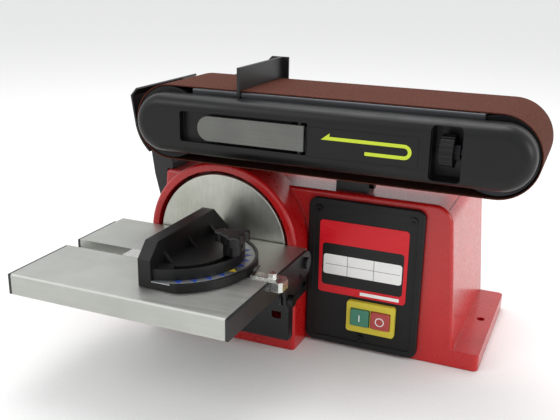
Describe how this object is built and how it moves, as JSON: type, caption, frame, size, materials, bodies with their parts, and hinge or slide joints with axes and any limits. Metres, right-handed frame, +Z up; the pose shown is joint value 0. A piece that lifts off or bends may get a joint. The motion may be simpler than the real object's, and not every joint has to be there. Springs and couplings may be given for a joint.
{
  "type": "belt disc sander",
  "caption": "Bench sander: a wide sanding belt over a tilting bed and a sanding disc with a tilting table and mitre gauge, driven by one motor.",
  "frame": {"origin": "on the bench, midway between the two bench bolt holes", "axes": "+X right along the sanding belt, +Y from the disc towards the back, +Z up"},
  "size_m": [0.4509, 0.4275, 0.3039],
  "materials": {
    "red_enamel": "glossy cast enamel",
    "black_enamel": "satin black enamel",
    "black_abs": "satin moulded",
    "panel_black": "textured",
    "label_red": "printed film",
    "switch_yellow": "moulded",
    "button_green": "moulded",
    "button_red": "moulded",
    "brushed_aluminium": "satin",
    "zinc_steel": "zinc plated",
    "dark_steel": "bare",
    "lever_steel": "brushed",
    "abrasive": "aluminium oxide cloth",
    "black_rubber": "moulded",
    "copper": "enamelled wire",
    "iron": "laminated",
    "capacitor_can": "drawn can",
    "scale_silver": "printed band"
  },
  "bodies": {
    "base": {"base_casting": "red_enamel", "bottom_plate": "zinc_steel", "disc_lower_guard": "black_enamel", "dust_port": "black_abs", "control_panel": "panel_black", "panel_label": "label_red", "panel_screws": "dark_steel", "switch_frame": "switch_yellow", "switch_body": "panel_black", "cable_gland": "black_abs", "motor_end_shields": "brushed_aluminium", "motor_bearings": "dark_steel", "stator_core": "iron", "stator_windings": "copper", "capacitor": "capacitor_can", "belt_post": "black_enamel", "support_bolts": "dark_steel", "rest_block": "black_enamel", "dust_chute": "black_enamel", "pulley_backplate": "zinc_steel", "pulley_cover": "black_abs", "pulley_cover_screw": "dark_steel", "drive_belt": "black_rubber", "table_brackets": "black_enamel", "bracket_screws": "dark_steel"},
    "spindle": {"motor_shaft": "dark_steel", "rotor_core": "iron", "motor_fan": "black_abs", "motor_pulley": "dark_steel", "sanding_disc": "brushed_aluminium"},
    "belt_arm": {"belt_frame": "black_enamel", "platen": "zinc_steel", "side_cover": "black_abs", "sanding_belt": "abrasive", "end_guard": "black_enamel", "work_stop": "black_enamel", "work_stop_screws": "dark_steel", "tension_lever_pin": "dark_steel", "tension_spring": "dark_steel", "drum_bearings": "dark_steel"},
    "drum": {"drive_roller": "black_rubber", "drum_pulley": "dark_steel"},
    "idler_carriage": {"idler_yoke": "zinc_steel", "idler_axle": "dark_steel"},
    "idler": {"idler_roller": "brushed_aluminium", "idler_bearings": "dark_steel"},
    "tension_lever": {"tension_lever": "lever_steel"},
    "tracking": {"tracking_knob": "black_abs", "tracking_screw": "dark_steel"},
    "table": {"work_table": "brushed_aluminium", "table_end_plates": "black_enamel", "table_trunnions": "black_enamel", "table_bolts": "dark_steel"},
    "mitre_slider": {"mitre_bar": "zinc_steel", "mitre_pointer": "zinc_steel"},
    "mitre_gauge": {"mitre_head": "black_abs", "mitre_scale": "scale_silver"},
    "mitre_clamp": {"mitre_knob": "black_abs"},
    "start_switch": {"start_button": "button_green"},
    "stop_switch": {"stop_button": "button_red"}
  },
  "joints": [
    {"name": "spindle_spin", "type": "hinge", "parent": "base", "child": "spindle", "pos_m": [-0.075, -0.12, 0.112], "axis": [0, 1, 0], "continuous": true},
    {"name": "belt_tilt", "type": "hinge", "parent": "base", "child": "belt_arm", "pos_m": [-0.1275, 0, 0.2415], "axis": [0, -1, 0], "range_deg": [0, 90]},
    {"name": "drum_spin", "type": "hinge", "parent": "belt_arm", "child": "drum", "pos_m": [-0.1275, -0.09, 0.2415], "axis": [0, 1, 0], "continuous": true},
    {"name": "idler_slide", "type": "slide", "parent": "belt_arm", "child": "idler_carriage", "axis": [-1, 0, 0], "range_m": [0, 0.004]},
    {"name": "idler_spin", "type": "hinge", "parent": "idler_carriage", "child": "idler", "pos_m": [0.20749, -0.0905, 0.2415], "axis": [0, 1, 0], "continuous": true},
    {"name": "lever_swing", "type": "hinge", "parent": "belt_arm", "child": "tension_lever", "pos_m": [0.0295, -0.166, 0.2458], "axis": [0, 0, 1], "range_deg": [0, 100]},
    {"name": "tracking_turn", "type": "hinge", "parent": "belt_arm", "child": "tracking", "pos_m": [0.16799, -0.159, 0.2471], "axis": [1, 0, 0], "range_deg": [-180, 180]},
    {"name": "table_tilt", "type": "hinge", "parent": "base", "child": "table", "pos_m": [-0.075, -0.1375, 0.109], "axis": [1, 0, 0], "range_deg": [0, 45]},
    {"name": "mitre_slide", "type": "slide", "parent": "table", "child": "mitre_slider", "axis": [1, 0, 0], "range_m": [-0.06, 0.06]},
    {"name": "mitre_swing", "type": "hinge", "parent": "mitre_slider", "child": "mitre_gauge", "pos_m": [-0.075, -0.216, 0.124], "axis": [0, 0, 1], "range_deg": [-60, 60]},
    {"name": "mitre_knob_turn", "type": "hinge", "parent": "mitre_slider", "child": "mitre_clamp", "pos_m": [-0.016, -0.216, 0.145], "axis": [0, 0, 1], "range_deg": [-360, 360]},
    {"name": "start_press", "type": "slide", "parent": "base", "child": "start_switch", "axis": [0, 1, 0], "range_m": [0, 0.003], "stiffness_N_per_m": 800},
    {"name": "stop_press", "type": "slide", "parent": "base", "child": "stop_switch", "axis": [0, 1, 0], "range_m": [0, 0.003], "stiffness_N_per_m": 800}
  ],
  "couplings": [
    {"joint": "drum_spin", "follows": "spindle_spin", "ratio": 0.75},
    {"joint": "idler_spin", "follows": "spindle_spin", "ratio": 0.75},
    {"joint": "idler_slide", "follows": "lever_swing", "m_per_rad": 0.002292}
  ]
}
